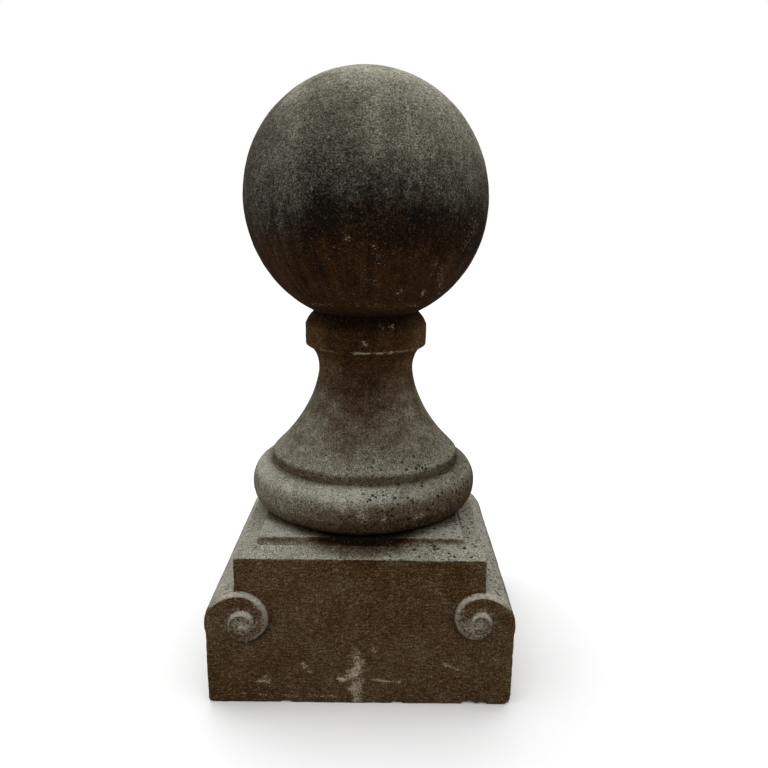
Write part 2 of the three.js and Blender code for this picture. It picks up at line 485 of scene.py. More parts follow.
def finial_lean(points):
    """Moves the stone a little off its axis: neck, collar and ball to the right, the torus to the left."""
    height = points[:, 2]
    drift = np.interp(height, *zip(*FINIAL_DRIFT))
    fuller = smoothstep(COLLAR_TOP, COLLAR_TOP + 0.06, height)
    fuller = fuller * smoothstep(BALL_CENTRE + 0.04, BALL_CENTRE - 0.08, height)
    points[:, 0] += drift + BALL_FULLER * np.clip(points[:, 0], 0, None) * fuller
    return points


def make_finial():
    profile = dense_profile(solid_meridian("ball_finial"))
    mesh = turned_mesh("ball_finial_stone", profile, TURNED_SEGMENTS)
    place_points(mesh, finial_lean(mesh_points(mesh)))
    weathered(mesh, FINIAL_WEAR, FINIAL_GOUGES)
    shade_smooth(mesh)
    return new_object("ball_finial_stone", mesh)


# Plinth

# Where a scroll's eye is, how far its carving reaches and the angle that it starts from
SCROLL_EYE = (0.1806, 0.147)
SCROLL_REACH = 0.085
SCROLL_START = -35
FINE_REACH = 0.062

# The relief: its height at the start, its rise onto the roll, its climb in a turn, and its band's dish
START_HEIGHT = 0.6 * MM
RISE = 6.5 * MM
RISE_ANGLE = 100
CLIMB = 8.0 * MM
DISH_DEPTH = 1.6 * MM
WALL_RUN = 5.5 * MM
INNER_WALL_SHARE = 0.8

# Where lichen, and grime with painted shadow, lie on and round the relief
LIP_PLACE = 4.8 * MM
LIP_WIDTH = 1.4 * MM
ROLL_RADIUS = 64 * MM
ROLL_CLEAR = 14 * MM
SPECKLE_SIZE = 6 * MM
GRIME_AND_SHADOW_REACH = 13 * MM

# Radii at each eighth of a turn from the outward side over the top and in, in millimetres
DRAWN_SCROLL = [62.5, 55.7, 49.6, 44.2, 39.4, 35.1, 31.3, 27.8,
                24.8, 22.1, 19.7, 17.5, 15.6, 13.9, 12.4, 11.0, 9.8]
LEFT_SCROLL = [62.5, 54.0, 47.8, 42.0, 39.0, 37.0, 35.0, 33.0,
               24.0, 22.8, 20.6, 20.6, 19.0, 13.5, 11.0, 9.5, 8.5]
RIGHT_SCROLL = [62.5, 55.7, 50.0, 41.5, 33.0, 30.5, 28.6, 26.2,
                26.0, 26.6, 23.0, 13.5, 10.0, 5.0, 4.0, 5.0, 6.0]

# Worn eyes: the hollow's place outward and up, its radius and the height of the ring round it
LEFT_EYE = (-4.0 * MM, 0.5 * MM, 3.6 * MM, 2.0 * MM)
RIGHT_EYE = (4.5 * MM, 9.0 * MM, 2.6 * MM, 1.0 * MM)
DRAWN_EYE = (0.0, 0.0, 3.2 * MM, 1.6 * MM)
EYE_DEPTH = 2.5 * MM
EYE_RING = 1.15

# Each scroll's side, -1 or 1 along X, its face, -1 or 1 along Y, its radii and its eye
SCROLLS = [
    (-1, -1, LEFT_SCROLL, LEFT_EYE),
    (1, -1, RIGHT_SCROLL, RIGHT_EYE),
    (-1, 1, DRAWN_SCROLL, DRAWN_EYE),
    (1, 1, DRAWN_SCROLL, DRAWN_EYE),
]


def spiral_radius(angle, radii):
    """Radius at an angle in degrees, smoothed between the given radii."""
    stations = np.arange(len(radii)) * 45.0
    logs = np.log(radii)
    nudges = (-24, -12, 0, 12, 24)
    return np.exp(sum(np.interp(angle + nudge, stations, logs) for nudge in nudges) / len(nudges)) * MM


def relief_level(angle):
    """Height of the scroll's band at an angle."""
    travelled = angle - SCROLL_START
    return START_HEIGHT + RISE * smoothstep(0, RISE_ANGLE, travelled) + CLIMB * travelled / 360


def scroll_lichen(s):
    """Lichen on the walls, the lips, the boss, the middle of the band and the end of the roll above."""
    wall = np.maximum(4 * s.outer * (1 - s.outer) * s.freed, 4 * s.inner * (1 - s.inner))
    inward = smoothstep(80, 130, s.angle) * smoothstep(280, 235, s.angle)
    turning = smoothstep(0.8, 0.1, s.band) * s.on_band * inward
    outer_lip = np.exp(-((s.outer_edge - s.radius - LIP_PLACE) / LIP_WIDTH) ** 2) * s.freed
    inner_lip = np.exp(-((s.inner_edge - s.radius - LIP_PLACE) / LIP_WIDTH) ** 2)
    spots = np.stack([s.u, s.v, 0 * s.u], axis=1)
    speckle = smoothstep(0.05, 0.45, layered_noise(spots, SPECKLE_SIZE, SEED["lichen"]))
    boss = smoothstep(25 * MM, 14 * MM, s.radius) * (0.45 + 0.55 * speckle)
    inside = smoothstep(0.55, 0.95, s.band) * s.on_band * (0.3 + 0.7 * speckle)
    roll_end = (s.v > 0) & (s.u > ROLL_CLEAR) & (s.radius < ROLL_RADIUS)
    past_edge = smoothstep(-1.5 * MM, -0.5 * MM, s.radius - s.outer_edge)
    above = past_edge * smoothstep(10, 30, s.angle) * roll_end
    lip = np.maximum(outer_lip, inner_lip)
    return np.maximum.reduce([wall, 0.55 * turning, 0.75 * lip, 0.95 * boss, 0.55 * inside, above])


def scroll_grime(s):
    """Grime with painted shadow on the flat beside the scroll, below its eye."""
    beside = s.radius - s.outer_edge
    below = smoothstep(130, 190, s.angle) * smoothstep(325, 280, s.angle)
    return smoothstep(1, 0, beside / GRIME_AND_SHADOW_REACH) * (beside > 0) * below


def scroll_relief(u, v, radii):
    """The carving's height, its lichen, and its grime with painted shadow, at places outward and up from a
    scroll's eye.
    """
    radius = np.hypot(u, v)
    angle = np.degrees(np.arctan2(v, u))
    angle = np.where(angle < SCROLL_START, angle + 360, angle)
    outer_edge = spiral_radius(angle, radii)
    inner_edge = spiral_radius(angle + 360, radii)
    outer = smoothstep(0, 1, (outer_edge - radius) / WALL_RUN)
    inner = smoothstep(0, 1, (inner_edge - radius) / (INNER_WALL_SHARE * WALL_RUN))
    band = np.clip((outer_edge - radius) / np.maximum(outer_edge - inner_edge, MM), 0, 1)
    on_band = outer * (1 - inner)
    level, next_level = relief_level(angle), relief_level(angle + 360)
    dish = DISH_DEPTH * np.sin(math.pi * band) * on_band * smoothstep(40, 120, angle)
    height = outer * level + inner * (next_level - level) - dish
    s = SimpleNamespace(u=u, v=v, radius=radius, angle=angle, outer_edge=outer_edge, inner_edge=inner_edge,
                        outer=outer, inner=inner, band=band, on_band=on_band, freed=smoothstep(15, 60, angle))
    return height, scroll_lichen(s), scroll_grime(s)


def carve_scroll(points, side, face, radii, eye):
    """Lays the scroll's relief on one end of a roll, and returns its lichen and its grime with painted
    shadow.
    """
    u = side * points[:, 0] - SCROLL_EYE[0]
    v = points[:, 2] - SCROLL_EYE[1]
    near = (np.hypot(u, v) < SCROLL_REACH) & (face * points[:, 1] > HALF_DEPTH - 3 * MM)
    height, lichen, grime = scroll_relief(u[near], v[near], radii)
    eye_u, eye_v, eye_radius, ring_height = eye
    gap = np.hypot(u[near] - eye_u, v[near] - eye_v) / eye_radius
    height += ring_height * np.exp(-((gap - EYE_RING) / 0.45) ** 2) - EYE_DEPTH * smoothstep(0.9, 0.2, gap)
    base = np.minimum(face * points[near, 1], HALF_DEPTH)
    points[near, 1] = face * (base + height)
    coats = np.zeros((2, len(points)))
    coats[:, near] = np.maximum(lichen, np.exp(-((gap - EYE_RING) / 0.5) ** 2)), grime
    return coats


def refine(mesh, chosen):
    """Cuts each edge whose both ends are chosen, so that their faces become four."""
    sculpt = bmesh.new()
    sculpt.from_mesh(mesh)
    sculpt.verts.ensure_lookup_table()
    edges = [e for e in sculpt.edges if chosen[e.verts[0].index] and chosen[e.verts[1].index]]
    bmesh.ops.subdivide_edges(sculpt, edges=edges, cuts=1, use_grid_fill=True)
    sculpt.to_mesh(mesh)
    sculpt.free()
    mesh.update()


def near_scrolls(points):
    """Which points lie on the two front scrolls."""
    u = np.abs(points[:, 0]) - SCROLL_EYE[0]
    v = points[:, 2] - SCROLL_EYE[1]
    return (np.hypot(u, v) < FINE_REACH) & (points[:, 1] < FRONT + 2 * MM)


def plinth_pitted(points, normals):
    """Pits lie on the sloping top and rolls, most of them on the right."""
    left_share = 0.3
    up = smoothstep(0.25, 0.7, normals[:, 2])
    return up * (left_share + (1 - left_share) * smoothstep(-0.02, 0.10, points[:, 0]))


PLINTH_WEAR = {
    "slow": 0.7 * MM,
    "coarse": 0.5 * MM,
    "grain": 0.5 * MM,
    "grain_size": (0.012, 0.012, 0.006),
    "pits": 1.6 * MM,
    "chips": 1.2 * MM,
    "pit_where": plinth_pitted,
    "floor": 0.0,
    "reach": (plinth_high[0], plinth_high[1]),
}

# Knocks and hollows of the plinth: place, radius and depth
PLINTH_GOUGES = [
    ((0.173, FRONT, 0.000), 0.014, 4 * MM),
    ((0.196, FRONT, 0.000), 0.008, 2.5 * MM),
    ((0.2415, FRONT, 0.000), 0.013, 3.5 * MM),
    ((-0.2415, FRONT, 0.000), 0.008, 2 * MM),
    ((-0.118, FRONT, 0.000), 0.012, 2.5 * MM),
    ((0.060, FRONT, 0.000), 0.010, 2 * MM),
    ((0.1941, FRONT, 0.250), 0.008, 1.5 * MM),
    ((0.2430, -0.200, 0.150), 0.012, 2 * MM),
    ((-0.2430, 0.150, 0.000), 0.016, 4 * MM),
    ((0.2415, HALF_DEPTH, 0.000), 0.014, 4 * MM),
    ((0.020, HALF_DEPTH, 0.000), 0.014, 3 * MM),
]

# Cracks as (side, from, to, width, depth), with places outward and up from the eye
CRACKS = [
    (-1, (-0.004, -0.0365), (0.036, -0.0350), 1.4 * MM, 1.6 * MM),
    (1, (0.034, 0.0095), (0.056, 0.0070), 1.0 * MM, 0.8 * MM),
    (1, (-0.300, -0.0660), (-0.080, -0.0710), 1.3 * MM, 0.5 * MM),
]

# The depth from which a crack is painted wholly black, as shade in its groove, how far it wanders and how
# much it fades on its way
CRACK_BLACK = 1.2 * MM
CRACK_WANDER = 2.2 * MM
CRACK_FADING = 0.7

# The finely meshed rim of the two hidden faces, and the radius of the bed under the torus
HIDDEN_MARGIN = 12 * MM
BED_RADIUS = 135 * MM


def crack_depth(points, side, start, end, width):
    """A ragged groove across the front that fades towards its outer end, 1 deep at its deepest."""
    u = side * points[:, 0] - SCROLL_EYE[0]
    v = points[:, 2] - SCROLL_EYE[1] + CRACK_WANDER * value_noise(points, 11 * MM, SEED["cracks"])
    along = np.array(end) - np.array(start)
    share = np.clip(((u - start[0]) * along[0] + (v - start[1]) * along[1]) / (along @ along), 0, 1)
    gap = np.hypot(u - start[0] - share * along[0], v - start[1] - share * along[1])
    fading = 1 - CRACK_FADING * share
    return smoothstep(1.6, 0.2, gap / (width * fading)) * fading * (points[:, 1] < FRONT + 3 * MM)


def plinth_hidden(points):
    """The underside within its margin, and the bed that the torus covers."""
    x, y, z = np.abs(points.T)
    under = (points[:, 2] < MM) & (x < plinth_high[0] - HIDDEN_MARGIN) & (y < HALF_DEPTH - HIDDEN_MARGIN)
    return under | ((z > plinth_high[2] - MM) & (np.hypot(x, y) < BED_RADIUS))


def cut_cracks(points):
    """Presses the cracks into the front, and returns how black each point is painted with them, as shade in
    the grooves.
    """
    black = np.zeros(len(points))
    for side, start, end, width, depth in CRACKS:
        groove = crack_depth(points, side, start, end, width)
        black = np.maximum(black, groove * min(1.0, depth / CRACK_BLACK))
        points[:, 1] += groove * depth
    return black


def make_plinth():
    stone = even_stone("scroll_plinth_stone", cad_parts["scroll_plinth"].data.copy(), PLINTH_CELL)
    stone.data.materials.clear()
    thin_out(stone, plinth_hidden)
    mesh = stone.data
    refine(mesh, near_scrolls(mesh_points(mesh)))
    points = mesh_points(mesh)
    coats = np.zeros((2, len(points)))
    for side, face, radii, eye in SCROLLS:
        coats = np.maximum(coats, carve_scroll(points, side, face, radii, eye))
    cracks = cut_cracks(points)
    place_points(mesh, points)
    store(mesh, lichen=coats[0], grime=coats[1], cracks=cracks)
    weathered(mesh, PLINTH_WEAR, PLINTH_GOUGES)
    shade_smooth(mesh)
    return stone


# Lime

# Strokes of old lime on the front of the plinth: both ends across and up and half the width in millimetres,
# and the strength
PLINTH_LIME = [
    (-14, 86, -4, 78, 12, 0.55), (0, 74, -6, 62, 11, 0.60), (-14, 66, -18, 52, 7, 0.50),
    (-4, 60, -6, 48, 8, 0.75), (-12, 42, -4, 34, 11, 0.65), (-10, 28, -8, 10, 8, 0.75),
    (1, 30, 2, 6, 4, 0.45), (14, 101, 21, 92, 5, 0.60), (-170, 38, -143, 39, 2.5, 0.75),
    (-148, 45, -144, 36, 4, 0.60), (-91, 70, -85, 64, 4, 0.50), (-78, 56, -66, 55, 3, 0.90),
    (-35, 43, -19, 42, 3, 0.80), (20, 43, 64, 38, 2.5, 0.75), (128, 73, 154, 64, 3, 0.85),
    (-160, 14, -100, 11, 2.5, 0.45), (-80, 13, -20, 11, 2.5, 0.45), (210, 85, 216, 80, 3, 0.30),
    (-200, 18, -180, 16, 3, 0.25),
]

# The same on the front of the finial
FINIAL_LIME = [
    (119, 676, 118, 646, 7, 0.24), (106, 690, 124, 684, 4, 0.30), (94, 648, 92, 643, 4, 0.35),
    (57, 652, 56, 647, 4, 0.35), (-83, 643, -80, 638, 4, 0.35), (-72, 688, -71, 683, 3, 0.35),
    (-22, 733, -21, 727, 4, 0.45), (16, 718, 17, 713, 3, 0.35), (-80, 621, -48, 625, 3, 0.25),
    (-10, 627, 86, 622, 3, 0.22), (24, 706, 18, 660, 4, 0.20), (9, 684, 6, 655, 4, 0.20),
    (166, 755, 158, 715, 9, 0.18), (-114, 815, -117, 745, 9, 0.14), (-90, 900, -94, 870, 7, 0.25),
    (18, 900, 20, 850, 8, 0.18), (-20, 873, -16, 868, 4, 0.30), (28, 591, 44, 587, 5, 0.40),
    (0, 564, 6, 560, 4, 0.45), (-70, 547, -30, 546, 2, 0.35), (-15, 546, 30, 546, 2.2, 0.60),
    (40, 546, 80, 546, 2.2, 0.50), (50, 455, 55, 450, 4, 0.35), (-14, 342, 6, 338, 8, 0.50),
    (-2, 320, 6, 306, 6, 0.40), (-34, 330, -28, 320, 5, 0.40), (34, 304, 40, 298, 4, 0.40),
    (-50, 340, -54, 328, 4, 0.55), (-120, 335, -100, 330, 6, 0.35), (85, 300, 100, 303, 4, 0.35),
]


def add_lime(mesh, strokes, behind):
    """Stores how limed each point is: a stroke's strength along its middle, 0 past its edge and behind."""
    points = mesh_points(mesh)
    lime = np.zeros(len(points))
    flat = points[:, [0, 2]] / MM
    ragged = 0.6 * value_noise(points, 7 * MM, SEED["lime edge"])
    broken = smoothstep(-0.6, 0.2, layered_noise(points, 14 * MM, SEED["lime gaps"]))
    for *ends, width, strength in strokes:
        start, end = np.reshape(ends, (2, 2))
        along = end - start
        share = np.clip((flat - start) @ along / (along @ along), 0, 1)
        gap = np.linalg.norm(flat - start - share[:, None] * along, axis=1) / width + ragged
        lime = np.maximum(lime, strength * smoothstep(1.6, 0.4, gap))
    store(mesh, lime=lime * broken * (points[:, 1] < behind))


# Materials

class Nodes:
    """A short way to write a node tree. Each call but add and feed returns an output socket."""

    def __init__(self, name):
        self.material = bpy.data.materials.new(name)
        self.material.use_nodes = True
        self.tree = self.material.node_tree
        self.shader = self.tree.nodes["Principled BSDF"]
        self.place = self.add("TexCoord").outputs["Object"]
        self.x, self.y, self.z = self.add("SeparateXYZ", Vector=self.place).outputs
        normal = self.add("NewGeometry").outputs["Normal"]
        self.lean_y, self.up = self.add("SeparateXYZ", Vector=normal).outputs[1:]

    def add(self, kind, settings=None, **inputs):
        node = self.tree.nodes.new("ShaderNode" + kind)
        for key, value in (settings or {}).items():
            setattr(node, key, value)
        for key, value in inputs.items():
            self.feed(node.inputs[key.replace("_", " ")], value)
        return node

    def feed(self, socket, value):
        if isinstance(value, bpy.types.NodeSocket):
            self.tree.links.new(value, socket)
        else:
            socket.default_value = value

    def math(self, operation, a, b=0.0, clamp=False):
        node = self.add("Math", {"operation": operation, "use_clamp": clamp})
        self.feed(node.inputs[0], a)
        self.feed(node.inputs[1], b)
        return node.outputs[0]

    def plus(self, *values):
        total = values[0]
        for value in values[1:]:
            total = self.math("ADD", total, value)
        return total

    def times(self, *values):
        total = values[0]
        for value in values[1:]:
            total = self.math("MULTIPLY", total, value)
        return total

    def swing(self, value, amount):
        """A noise from 0 to 1 turned into one round zero, of the given height."""
        return self.times(self.math("SUBTRACT", value, 0.5), amount)

    def stretch(self, scale):
        node = self.add("VectorMath", {"operation": "MULTIPLY"})
        self.feed(node.inputs[0], self.place)
        self.feed(node.inputs[1], scale)
        return node.outputs[0]

    def noise(self, size, detail=3.0, roughness=0.55, where=None):
        node = self.add("TexNoise", Scale=1.0 / size, Detail=detail, Roughness=roughness,
                        Vector=where or self.place)
        return node.outputs["Fac"]

    def drift(self, size, detail, roughness, amount):
        """Noise round zero, of the given height."""
        return self.swing(self.noise(size, detail, roughness), amount)

    def near_middle(self, value, low, high):
        """A band of the value's distance from zero."""
        return self.band(self.math("ABSOLUTE", value), low, high)

    def warped(self, size, amount):
        """Places pushed about by noise, so that round spots turn ragged."""
        push = self.add("TexNoise", Scale=1.0 / size, Detail=2.0, Vector=self.place)
        node = self.add("VectorMath", {"operation": "MULTIPLY_ADD"})
        for socket, value in zip(node.inputs, (push.outputs["Color"], (amount, amount, amount), self.place)):
            self.feed(socket, value)
        return node.outputs[0]

    def pits(self, size, radius, share, where):
        """Spots of varied size, 1 at their middle, in a share of the cells of the given size."""
        cells = self.add("TexVoronoi", Scale=1.0 / size, Vector=where)
        chance = self.add("SeparateColor", Color=cells.outputs["Color"]).outputs
        reach = self.plus(0.5 * radius / size, self.times(chance["Green"], radius / size))
        spot = self.band(self.math("DIVIDE", cells.outputs["Distance"], reach), 1.0, 0.65)
        return self.times(spot, self.math("LESS_THAN", chance["Red"], share))

    def band(self, value, low, high, to_low=0.0, to_high=1.0):
        node = self.add("MapRange", {"interpolation_type": "SMOOTHSTEP"}, Value=value,
                        From_Min=low, From_Max=high, To_Min=to_low, To_Max=to_high)
        return node.outputs["Result"]

    def colours(self, value, stops):
        """A colour looked up along the given (value, colour) stops."""
        ramp = self.add("ValToRGB")
        self.feed(ramp.inputs["Fac"], value)
        elements = ramp.color_ramp.elements
        while len(elements) < len(stops):
            elements.new(0.5)
        for element, (place, colour) in zip(elements, stops):
            element.position = place
            element.color = (*colour, 1.0)
        return ramp.outputs["Color"]

    def profile(self, value, stops):
        """A value looked up along the given (place, value) stops."""
        low, high = stops[0][0], stops[-1][0]
        spread = self.add("MapRange", Value=value, From_Min=low, From_Max=high)
        levels = [((place - low) / (high - low), (level, level, level)) for place, level in stops]
        return self.colours(spread.outputs["Result"], levels)

    def mix(self, share, a, b, blend="MIX"):
        node = self.tree.nodes.new("ShaderNodeMix")
        node.data_type = "RGBA"
        node.blend_type = blend
        for socket, value in zip((node.inputs["Factor"], node.inputs[6], node.inputs[7]), (share, a, b)):
            self.feed(socket, (*value, 1.0) if isinstance(value, tuple) else value)
        return node.outputs[2]

    def grey(self, level):
        return self.add("CombineColor", Red=level, Green=level, Blue=level).outputs[0]

    def scaled(self, colour, factor):
        """The colour times a number."""
        return self.mix(1.0, colour, self.grey(factor), "MULTIPLY")

    def attribute(self, name):
        return self.add("Attribute", {"attribute_name": name}).outputs["Fac"]


# Colours of the stone from its blackest crust to its palest skin
CRUST = [
    (0.00, (0.008, 0.0040, 0.0020)),
    (0.15, (0.023, 0.0100, 0.0028)),
    (0.30, (0.045, 0.0220, 0.0068)),
    (0.45, (0.077, 0.0475, 0.0230)),
    (0.60, (0.112, 0.0880, 0.0560)),
    (0.75, (0.170, 0.1520, 0.1150)),
    (0.90, (0.245, 0.2320, 0.1900)),
    (1.00, (0.320, 0.3100, 0.2650)),
]
BLACK = (0.009, 0.005, 0.003)
LIME = (0.42, 0.34, 0.25)
LICHEN = (0.285, 0.258, 0.205)
# Painted highlight on lichen that faces up
CREST_HIGHLIGHT = (0.52, 0.48, 0.41)
NEUTRAL = (1.04, 1.0, 0.79)

# Sizes of the stone's noises, of its pinholes and sockets, and the depth of the bump
SAND_SIZE = 2.2 * MM
COARSE_GRAIN = 8.5 * MM
CLOUD_SIZE = 55 * MM
DARK_GRAIN = 3.4 * MM
FLECK_SIZE = 3.0 * MM
PINHOLES = (8.5 * MM, 1.5 * MM, 0.5)
SOCKETS = (8.0 * MM, 2.3 * MM, 0.70)
BUMP_DEPTH = 1.5 * MM
MATT = 0.02


def stone_holes(n):
    """Pinholes all over, larger sockets where the stone is pitted, and the pits of the mesh itself."""
    where = n.warped(6 * MM, 4 * MM)
    pinholes = n.times(n.pits(*PINHOLES, where), 0.7)
    sockets = n.times(n.pits(*SOCKETS, where), n.band(n.attribute("pitted"), 0.15, 0.8))
    return n.math("MAXIMUM", n.math("MAXIMUM", pinholes, sockets), n.band(n.attribute("pits"), 0.30, 0.6))


def stone_material(name, skin, finish):
    """Stone whose skin tells how pale it is, from 0 to 1, and how lively its grain, edges and hollows are;
    hollows are darkened with dirt and painted shade, and holes are painted near black as their shade.
    """
    n = Nodes(name)
    sand = n.noise(SAND_SIZE, 2.0, 0.75)
    coarse = n.noise(COARSE_GRAIN, 3.0, 0.65)
    coat = skin(n)
    level, lively = coat["level"], coat["lively"]
    grain = n.times(lively, n.plus(n.swing(coarse, 0.45), n.swing(sand, 0.70)))
    lime = n.attribute("lime")
    colour = n.colours(n.plus(level, n.drift(CLOUD_SIZE, 5.0, 0.6, 0.36), grain, n.times(lime, 0.12)), CRUST)
    colour = n.scaled(colour, n.plus(1.0, n.times(lively, n.swing(sand, 2.4))))

    dark = n.times(n.band(n.noise(DARK_GRAIN, 2.0, 0.6, n.stretch((1.1, 0.9, 1.3))), 0.42, 0.34), 0.5)
    colour = n.mix(dark, colour, BLACK)
    holes = stone_holes(n)
    # Holes painted near black, as the shade in the cavities
    colour = n.mix(n.math("MULTIPLY", holes, 0.9, True), colour, BLACK)
    # Hollows darkened towards black: dirt and painted shade
    colour = n.mix(n.math("MULTIPLY", n.attribute("hollow"), coat["hollow_dirt_and_shade"], True), colour, BLACK)
    chipped = n.band(n.noise(6 * MM, 4.0, 0.7), 0.42, 0.58)
    colour = n.mix(n.times(n.attribute("arris"), chipped, coat["edges"]), colour, LICHEN)
    spots = n.noise(FLECK_SIZE, 3.0, 0.7, n.stretch((0.9, 1.2, 1.1)))
    flecks = n.band(n.plus(spots, n.times(lime, 0.36)), 0.62, 0.70)
    colour = n.mix(n.times(flecks, n.plus(0.22, n.times(lime, 0.60))), colour, LIME)
    n.feed(n.shader.inputs["Base Color"], finish(n, colour))

    n.feed(n.shader.inputs["Roughness"], n.band(coarse, 0.3, 0.7, 0.92, 1.0))
    n.shader.inputs["Specular IOR Level"].default_value = MATT

    relief = n.plus(n.times(sand, 0.9), n.times(coarse, 1.2), n.times(holes, -0.8))
    bump = n.add("Bump", Strength=1.0, Distance=BUMP_DEPTH, Height=relief)
    n.feed(n.shader.inputs["Normal"], bump.outputs["Normal"])
    return n.material


def from_axis(n):
    """Distance from the finial's axis."""
    return n.math("SQRT", n.plus(n.times(n.x, n.x), n.times(n.y, n.y)))


def around_axis(n, along):
    """Places on a cylinder round the axis, squeezed along the height so that noise runs down as streaks."""
    wrap = 0.15
    reach = n.math("MAXIMUM", from_axis(n), MM)
    return n.add("CombineXYZ", X=n.times(n.math("DIVIDE", n.x, reach), wrap),
                 Y=n.times(n.math("DIVIDE", n.y, reach), wrap), Z=n.times(n.z, along)).outputs[0]


# How pale the finial is at each height; the low values under the ball and at the top of the collar beneath it
# are partly brown crust and partly painted shade of the ball's underside
FINIAL_PALENESS = [
    (BEDDING, 0.10), (BEDDING + 0.012, 0.28), (BEDDING + 0.022, 0.30), (BEDDING + 0.045, 0.50),
    (TORUS_CROWN - 0.010, 0.87), (TORUS_CROWN - 0.001, 0.80), (TORUS_CROWN + 0.001, 0.47),
    (FILLET_TOP - 0.001, 0.47), (FILLET_TOP + 0.001, 0.78), (FILLET_TOP + 0.040, 0.58),
    (THROAT - 0.055, 0.40), (THROAT, 0.20), (COLLAR_FOOT, 0.16),
    (COLLAR_TOP - 0.026, 0.15), (COLLAR_TOP - 0.018, 0.08), (COLLAR_TOP, 0.00), (COLLAR_TOP + 0.015, 0.10),
    (BALL_CENTRE - 0.095, 0.12), (BALL_CENTRE - 0.070, 0.10), (BALL_CENTRE - 0.025, 0.16),
    (BALL_CENTRE + 0.015, 0.31), (BALL_CENTRE + 0.080, 0.54), (BALL_CENTRE + 0.150, 0.68), (BALL_TOP, 1.00),
]

# How strong its streaks and how lively its grain are at each height
FINIAL_STREAKS = [
    (BEDDING, 0.1), (FILLET_TOP, 0.3), (COLLAR_FOOT, 0.5), (COLLAR_TOP, 0.4),
    (BALL_CENTRE - 0.10, 1.3), (BALL_CENTRE, 0.7), (BALL_CENTRE + 0.06, 0.2), (BALL_TOP, 0.2),
]
FINIAL_GRAIN = [
    (BEDDING, 1.0), (BEDDING + 0.03, 1.1), (TORUS_CROWN, 0.9), (FILLET_TOP, 1.0), (COLLAR_FOOT, 0.9),
    (COLLAR_TOP, 0.8), (BALL_CENTRE - 0.10, 0.6), (BALL_CENTRE - 0.05, 1.2), (BALL_CENTRE + 0.02, 1.4),
    (BALL_CENTRE + 0.10, 1.1), (BALL_TOP, 1.0),
]

# Across the front: the two pale runs on the ball, and how much paler the torus is low down
BALL_RUNS = [(-0.135, 0.0), (-0.105, 0.5), (-0.080, 0.0), (-0.005, 0.0), (0.020, 0.9), (0.040, 0.0)]
TORUS_FOOT = [(-0.17, 0.16), (-0.11, 0.13), (-0.05, -0.06), (0.05, -0.07), (0.12, 0.06)]

# Outward from the axis: the dark patch below the torus, part stain and part painted shadow of the ball and
# torus, and the painted contact shadow where the torus sits
SEAT_STAIN_AND_SHADOW = [(0.165, 0.80), (0.190, 0.64), (0.205, 0.44), (0.222, 0.08), (0.240, 0.0)]
SEAT_CONTACT_SHADOW = [(0.175, 0.40), (0.190, 0.28), (0.204, 0.0)]


def ball_height(n):
    """Height as the weathering of the ball reads it: ragged, and higher on the far left and to the right."""
    on_ball = n.band(n.z, COLLAR_TOP + 0.02, COLLAR_TOP + 0.08)
    ragged = n.plus(n.drift(0.05, 5.0, 0.65, 0.07), n.drift(0.010, 3.0, 0.7, 0.07))
    left = n.band(n.plus(n.x, n.drift(0.03, 4.0, 0.6, 0.06)), -0.06, -0.11)
    return n.plus(n.z, n.times(n.plus(ragged, n.times(n.x, 0.10), n.times(left, 0.042)), on_ball))


def ball_marks(n, height):
    """The black blotches below the ball's middle, its pale runs, and its paler right."""
    blotch = n.times(n.band(n.y, 0.05, -0.02),
                     n.band(height, BALL_CENTRE - 0.075, BALL_CENTRE - 0.045),
                     n.band(height, BALL_CENTRE + 0.020, BALL_CENTRE - 0.015),
                     n.band(n.plus(n.x, n.drift(0.02, 4.0, 0.7, 0.05)), -0.085, -0.066))
    runs = n.times(n.profile(n.plus(n.x, n.drift(0.02, 4.0, 0.7, 0.02)), BALL_RUNS),
                   n.band(n.y, 0.0, -0.05),
                   n.band(n.z, BALL_CENTRE + 0.02, BALL_CENTRE + 0.07),
                   n.band(n.z, BALL_CENTRE + 0.18, BALL_CENTRE + 0.14))
    rightward = n.times(n.x, n.band(n.z, BALL_CENTRE, BALL_CENTRE + 0.10), 0.9)
    return n.plus(n.times(blotch, -0.13), n.times(runs, 0.10), rightward)


def neck_marks(n):
    """The neck and the collar are paler at their sides, and the neck is mottled."""
    sideways = n.math("DIVIDE", n.math("ABSOLUTE", n.x), n.math("MAXIMUM", from_axis(n), MM))
    neck = n.times(n.band(sideways, 0.25, 0.85), n.band(n.z, FILLET_TOP, THROAT - 0.06),
                   n.band(n.z, COLLAR_FOOT + 0.01, THROAT))
    collar = n.times(n.band(sideways, 0.45, 0.90), n.band(n.z, COLLAR_FOOT, COLLAR_FOOT + 0.01),
                     n.band(n.z, COLLAR_TOP + 0.005, COLLAR_TOP - 0.010))
    mottle = n.times(n.swing(n.noise(0.028, 4.0, 0.6, n.stretch((0.8, 0.8, 1.3))), 0.5),
                     n.band(n.z, FILLET_TOP, FILLET_TOP + 0.03), n.band(n.z, THROAT + 0.01, THROAT - 0.03))
    return n.plus(n.times(neck, 0.16), n.times(collar, 0.18), mottle)


def torus_marks(n):
    """The torus is paler on the left, at the middle of its crown and at both ends of its foot."""
    foot = n.times(n.band(n.z, BEDDING + 0.055, BEDDING + 0.030), n.profile(n.x, TORUS_FOOT))
    crown = n.times(n.band(n.z, BEDDING + 0.045, BEDDING + 0.060), n.near_middle(n.x, 0.09, 0.02),
                    n.band(n.y, 0.0, -0.05), 0.11)
    on_torus = n.band(n.z, TORUS_CROWN + 0.002, TORUS_CROWN)
    return n.times(on_torus, n.plus(n.times(n.x, -0.6), foot, crown))


